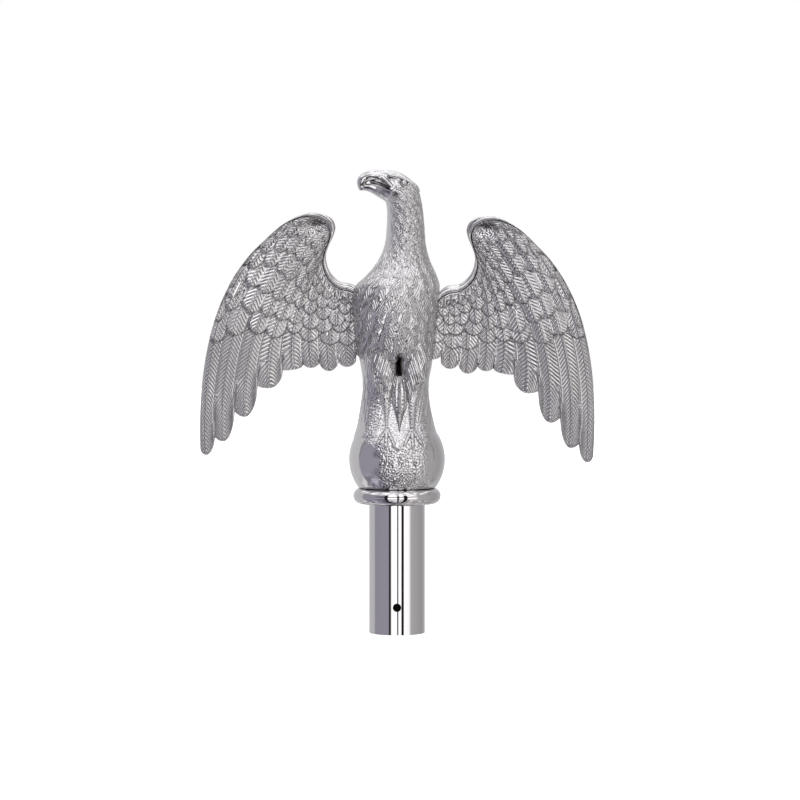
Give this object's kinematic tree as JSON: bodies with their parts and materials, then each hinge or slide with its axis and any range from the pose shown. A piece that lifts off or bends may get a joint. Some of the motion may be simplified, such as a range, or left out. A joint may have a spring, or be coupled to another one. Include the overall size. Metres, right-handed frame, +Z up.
{
  "type": "eagle finial",
  "caption": "Chromed cast eagle with raised wings on a stippled ball, on a collar ring and a tube ferrule for a flagpole.",
  "frame": {"origin": "centre of the ferrule's open lower end, which the finial stands on", "axes": "+Z up along the ferrule, -Y out of the eagle's breast, +X to the right of someone facing the breast"},
  "size_m": [0.1971, 0.048, 0.2314],
  "materials": {
    "turned_chrome": "mirror polished chrome plate",
    "cast_chrome": "bright chrome plate over a chased casting"
  },
  "bodies": {
    "root": {"ferrule": "turned_chrome", "collar_ring": "turned_chrome", "eagle": "cast_chrome"}
  },
  "joints": []
}
